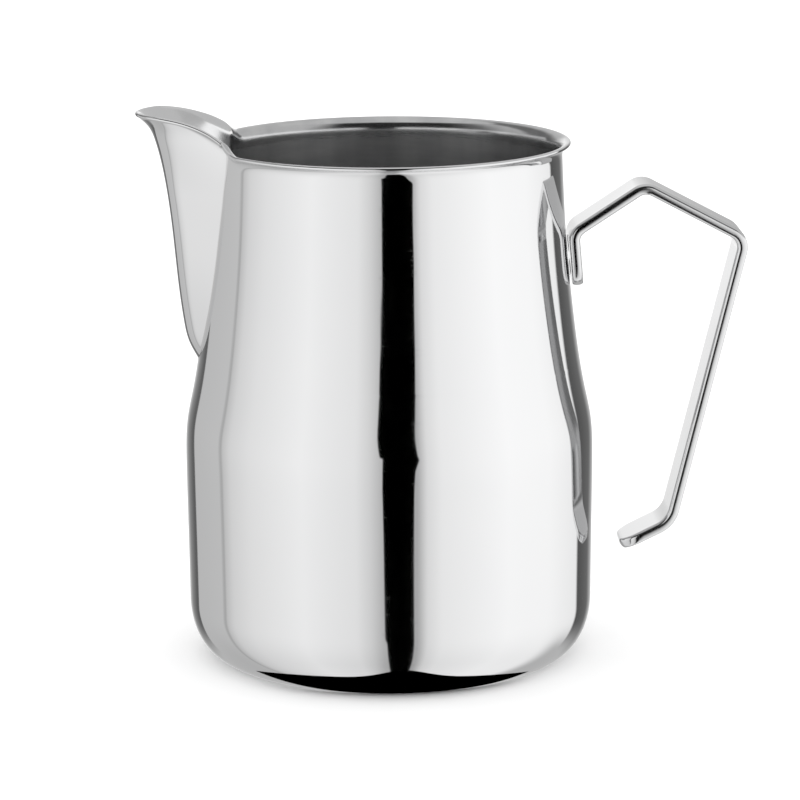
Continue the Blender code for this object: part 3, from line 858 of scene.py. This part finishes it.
TENT_RADIUS = 0.5
TENT_TOP, TENT_BOTTOM = 0.9, -0.9
TENT_SEGMENTS = 256
TENT_LIGHT = (  # direction round the tent, 0 in front and + to the right, and its brightness
    (-180, 1.10),
    (-165, 0.60),
    (-157, 0.30),
    (-145, 0.13),
    (-142, 0.13),
    (-141, 0.58),
    (-109, 0.64),
    (-108, 0.47),
    (-106.5, 0.47),
    (-105.5, 0.64),
    (-99, 0.80),
    (-84, 0.92),
    (-50, 1.07),
    (-20, 0.95),
    (-12, 0.78),
    (-5, 0.55),
    (13, 0.50),
    (18, 0.87),
    (26, 1.02),
    (66, 1.19),
    (96, 1.17),
    (127, 1.02),
    (129, 0.10),
    (148, 0.16),
    (163, 0.60),
    (180, 1.10),
)
PANEL_TOP = (0.19, 0.22)  # heights between which the panels round the pitcher end
PANEL_FADE = (-0.45, 0.05)  # heights between which they grow to full brightness
PANEL_FADED = 0.87
UPPER_LIGHT = (  # direction and brightness above the panels
    (-180, 0.66),
    (-165, 0.60),
    (-150, 0.20),
    (-122, 0.20),
    (-112, 0.55),
    (-95, 0.50),
    (-75, 0.20),
    (-50, 0.03),
    (34, 0.03),
    (58, 0.60),
    (165, 0.60),
    (180, 0.66),
)
DARKEST_ABOVE = 0.02
CEILING_LIGHT = 0.66
CEILING_FROM = (0.7, 0.8)  # heights between which the overhead light begins
LOW_LIGHT = 0.6  # behind, near the tent's bottom
LOW_LIGHT_SIDES = (100.0, 125.0)  # degrees from the front, to either side, where it begins
LOW_LIGHT_TOP = (-0.32, -0.15)
GAP_DISTANCE = 0.495  # in front of the axis, where the edges of the black gap are given
GAP_LEFT = (  # height and place across, in millimetres
    (-600, -20),
    (-135, -32),
    (-125, -42),
    (-60, -49),
    (80, -46),
    (90, -60),
    (160, -73),
)
GAP_RIGHT = (
    (-600, 95),
    (-110, 95),
    (10, 104),
    (70, 123),
    (95, 116),
    (160, 106),
)
GAP_SOFTNESS = 2.0
GAP_BOTTOM = TENT_BOTTOM + 0.01
NEAREST_AHEAD = 0.01  # keeps the place across finite at the tent's sides
# The black card is painted shade: it stands for the contact shadow on the floor round the base, shown only
# in the polished corner.
CARD_OUTER = (-9.4 * MM, 33.2 * MM)  # centre's y and radius of the black card's outer edge
CARD_INNER = (11.5 * MM, 46.8 * MM)  # the same for its inner edge
CARD_TIP = 29.3 * MM  # where both edges meet, left and right of its centre
CARD_CENTRE = -1.0 * MM
CARD_BULGE, CARD_BULGE_AT, CARD_BULGE_WIDTH = 4.0 * MM, 3.2 * MM, 7.5 * MM
CARD_POINTS = 65
CARD_DEPTH = 0.05 * MM
FLOOR_DEPTH = 0.1 * MM
FLOOR_SIZE = 6.0
FLOOR_SHADES = ((0.3, 0.895), (0.7, 0.905))
WORLD_LIGHT = 1.5
BOUNCES, GLOSSY_BOUNCES = 14, 12


def only_in_reflections(obj):
    """Leaves an object to be seen by polished surfaces alone."""
    obj.visible_camera = False
    obj.visible_diffuse = False
    obj.visible_transmission = False
    obj.visible_volume_scatter = False
    obj.visible_shadow = False


def glow(name):
    """A material that only emits: its nodes and its emission shader."""
    material = bpy.data.materials.new(name)
    material.use_nodes = True
    material.cycles.emission_sampling = "NONE"
    nodes = Nodes(material.node_tree)
    material.node_tree.nodes.remove(material.node_tree.nodes["Principled BSDF"])
    emission = nodes.add("ShaderNodeEmission", Strength=1.0)
    output = material.node_tree.nodes["Material Output"]
    nodes.plug(output.inputs["Surface"], emission.outputs[0])
    return material, nodes, emission


def gap_edge(nodes, z, stops):
    """Place across of one edge of the black gap at a height, in millimetres."""
    heights, places = np.array(stops).T
    low, high = heights[0], heights[-1]
    least, most = places.min(), places.max()
    share = nodes.between(z, low * MM, high * MM, smooth=False)
    shares, greys = (heights - low) / (high - low), (places - least) / (most - least)
    edge = nodes.ramp(share, list(zip(shares, greys)))
    return nodes.between(edge, 0.0, 1.0, least, most, smooth=False)


def by_direction(nodes, around, stops):
    """Brightness by direction round the tent, from stops in degrees."""
    turn = nodes.math("DIVIDE", nodes.math("ADD", around, 180.0), 360.0)
    return nodes.ramp(turn, [((azimuth + 180) / 360, light) for azimuth, light in stops])


def black_gap(nodes, x, y, z):
    """1 in the gap between the two front panels, 0 beside it."""
    ahead = nodes.math("MAXIMUM", nodes.math("MULTIPLY", y, -1.0), NEAREST_AHEAD)
    across = nodes.math("MULTIPLY", nodes.math("DIVIDE", x, ahead), GAP_DISTANCE / MM)
    gap = nodes.math("MULTIPLY", nodes.math("LESS_THAN", y, 0.0), nodes.math("GREATER_THAN", z, GAP_BOTTOM))
    for stops, sign in ((GAP_LEFT, 1.0), (GAP_RIGHT, -1.0)):
        past = nodes.math("MULTIPLY", nodes.math("SUBTRACT", across, gap_edge(nodes, z, stops)), sign)
        gap = nodes.math("MULTIPLY", gap, nodes.between(past, -GAP_SOFTNESS, GAP_SOFTNESS))
    return gap


def mixed(nodes, share, first, second):
    mix = nodes.add("ShaderNodeMix", {"data_type": "FLOAT"}, Factor=share)
    nodes.plug(mix.inputs["A"], first)
    nodes.plug(mix.inputs["B"], second)
    return mix.outputs["Result"]


def tent_material():
    """Light panels all round with a black gap in front, darker above them, and an overhead light."""
    material, nodes, emission = glow("light_tent")
    position = nodes.add("ShaderNodeNewGeometry").outputs["Position"]
    x, y, z = nodes.add("ShaderNodeSeparateXYZ", Vector=position).outputs
    around = nodes.math("DEGREES", nodes.math("ARCTAN2", x, nodes.math("MULTIPLY", y, -1.0)))
    behind = nodes.between(nodes.math("ABSOLUTE", around), *LOW_LIGHT_SIDES)
    low = nodes.math("MULTIPLY", behind, nodes.between(z, *LOW_LIGHT_TOP, 1.0, 0.0))
    panels = mixed(nodes, low, by_direction(nodes, around, TENT_LIGHT), LOW_LIGHT)
    panels = nodes.math("MULTIPLY", panels, nodes.between(z, *PANEL_FADE, PANEL_FADED, 1.0))
    panels = nodes.math("MULTIPLY", panels, nodes.math("SUBTRACT", 1.0, black_gap(nodes, x, y, z)))
    overhead = nodes.math("MULTIPLY", nodes.between(z, *CEILING_FROM), CEILING_LIGHT)
    upper = nodes.math("MAXIMUM", overhead, by_direction(nodes, around, UPPER_LIGHT))
    upper = nodes.math("MAXIMUM", upper, DARKEST_ABOVE)
    shown = mixed(nodes, nodes.between(z, *PANEL_TOP), panels, upper)
    nodes.plug(emission.inputs["Color"], shown)
    return material


def build_tent():
    """A closed drum round the whole set, seen only in reflections."""
    mesh_data = bmesh.new()
    depth = TENT_TOP - TENT_BOTTOM
    bmesh.ops.create_cone(
        mesh_data,
        cap_ends=True,
        segments=TENT_SEGMENTS,
        radius1=TENT_RADIUS,
        radius2=TENT_RADIUS,
        depth=depth,
    )
    mesh = bpy.data.meshes.new("light_tent")
    mesh_data.to_mesh(mesh)
    mesh_data.free()
    mesh.materials.append(tent_material())
    tent = bpy.data.objects.new("light_tent", mesh)
    tent.location = (0, 0, (TENT_TOP + TENT_BOTTOM) / 2)
    bpy.context.scene.collection.objects.link(tent)
    only_in_reflections(tent)


def build_painted_shadow_card():
    """Painted shade: a black card under the pitcher, seen only in reflections, which darkens the lowest
    part of its rounded corner as a contact shadow would.
    """
    across = np.linspace(-CARD_TIP, CARD_TIP, CARD_POINTS)
    outer = CARD_OUTER[0] - np.sqrt(CARD_OUTER[1] ** 2 - across**2)
    outer -= CARD_BULGE * np.exp(-(((across - CARD_BULGE_AT) / CARD_BULGE_WIDTH) ** 2))
    inner = CARD_INNER[0] - np.sqrt(CARD_INNER[1] ** 2 - across**2)
    points = [(x, y, 0.0) for x, y in zip(across, outer)]
    points += [(x, y, 0.0) for x, y in zip(across[-2:0:-1], inner[-2:0:-1])]
    mesh = bpy.data.meshes.new("painted_shadow_card")
    mesh.from_pydata(points, [], [list(range(len(points)))])
    material, _, emission = glow("painted_shadow_black")
    emission.inputs["Color"].default_value = (0, 0, 0, 1)
    mesh.materials.append(material)
    card = bpy.data.objects.new("painted_shadow_card", mesh)
    card.location = (CARD_CENTRE, 0, -CARD_DEPTH)
    bpy.context.scene.collection.objects.link(card)
    only_in_reflections(card)


def build_floor():
    mesh_data = bmesh.new()
    bmesh.ops.create_grid(mesh_data, x_segments=1, y_segments=1, size=FLOOR_SIZE)
    mesh = bpy.data.meshes.new("floor")
    mesh_data.to_mesh(mesh)
    mesh_data.free()
    material = bpy.data.materials.new("pale_floor")
    material.use_nodes = True
    nodes = Nodes(material.node_tree)
    shader = material.node_tree.nodes["Principled BSDF"]
    speckle = nodes.stretched_noise(nodes.add("ShaderNodeTexCoord").outputs["Object"], (40, 40, 40))
    nodes.plug(shader.inputs["Base Color"], nodes.ramp(speckle, FLOOR_SHADES))
    shader.inputs["Roughness"].default_value = 1.0
    shader.inputs["Specular IOR Level"].default_value = 0.0
    mesh.materials.append(material)
    floor = bpy.data.objects.new("floor", mesh)
    floor.location = (0, 0, -FLOOR_DEPTH)
    floor.visible_glossy = False
    bpy.context.scene.collection.objects.link(floor)


def build_world():
    world = bpy.data.worlds.new("studio")
    bpy.context.scene.world = world
    world.use_nodes = True
    background = world.node_tree.nodes["Background"]
    background.inputs["Color"].default_value = (1, 1, 1, 1)
    background.inputs["Strength"].default_value = WORLD_LIGHT
    world.cycles.sampling_method = "NONE"


def build_camera():
    """A long lens a little above the pitcher, facing its side."""
    data = bpy.data.cameras.new("camera")
    data.sensor_width = SENSOR_WIDTH
    data.lens = LENS
    data.shift_x, data.shift_y = SHIFT
    data.clip_start, data.clip_end = CLIP_START, CLIP_END
    camera = bpy.data.objects.new("camera", data)
    back = Vector((
        math.sin(AZIMUTH) * math.cos(ELEVATION),
        -math.cos(AZIMUTH) * math.cos(ELEVATION),
        math.sin(ELEVATION),
    ))
    facing = (-back).to_track_quat("-Z", "Y").to_matrix() @ Matrix.Rotation(ROLL, 3, "Z")
    camera.matrix_world = Matrix.Translation(TARGET + back * DISTANCE) @ facing.to_4x4()
    bpy.context.scene.collection.objects.link(camera)
    bpy.context.scene.camera = camera


# ---------------------------------------------------------------- the whole


def main():
    scene = bpy.context.scene
    scene.view_settings.view_transform = "Standard"
    scene.cycles.max_bounces = BOUNCES
    scene.cycles.glossy_bounces = GLOSSY_BOUNCES
    build_camera()
    build_world()
    build_floor()
    build_tent()
    build_painted_shadow_card()

    outside = polished_steel("body_mirror", 0.79, 0.03, 0.03)
    base = spun_steel("base_spun", 0.74, 0.28)
    inside = satin_steel("body_satin_inside", 0.68, 0.32, 0.13, 102.5 * MM, 107 * MM)
    spout_outside = polished_steel("spout_mirror", 0.79, 0.035, 0.03)
    spout_inside = polished_steel("spout_mirror_inside", 0.78, 0.13, 0.06)
    # The handle's steel is a shade darker than the body's (0.75 against 0.79) so that its faces read
    # greyer: painted shade.
    strip = polished_steel("handle_mirror", 0.75, 0.1, 0.05)
    ground = weld_steel("weld_ground", 0.77, 0.1)
    fused = weld_steel("weld_fused", 0.6, 0.4)

    body = build_body([outside, base, inside])
    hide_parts("body_shell")
    spout = build_spout([spout_outside, spout_inside])
    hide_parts("spout")
    bead = build_bead(ground)
    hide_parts("spout_weld_bead")
    handle = build_handle(strip)
    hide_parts("handle_strip")
    for piece in (body, spout, bead, handle):
        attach(piece, "root")
    for place in ("upper", "lower"):
        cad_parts[f"handle_spot_weld_{place}"].data.materials[0] = fused


main()
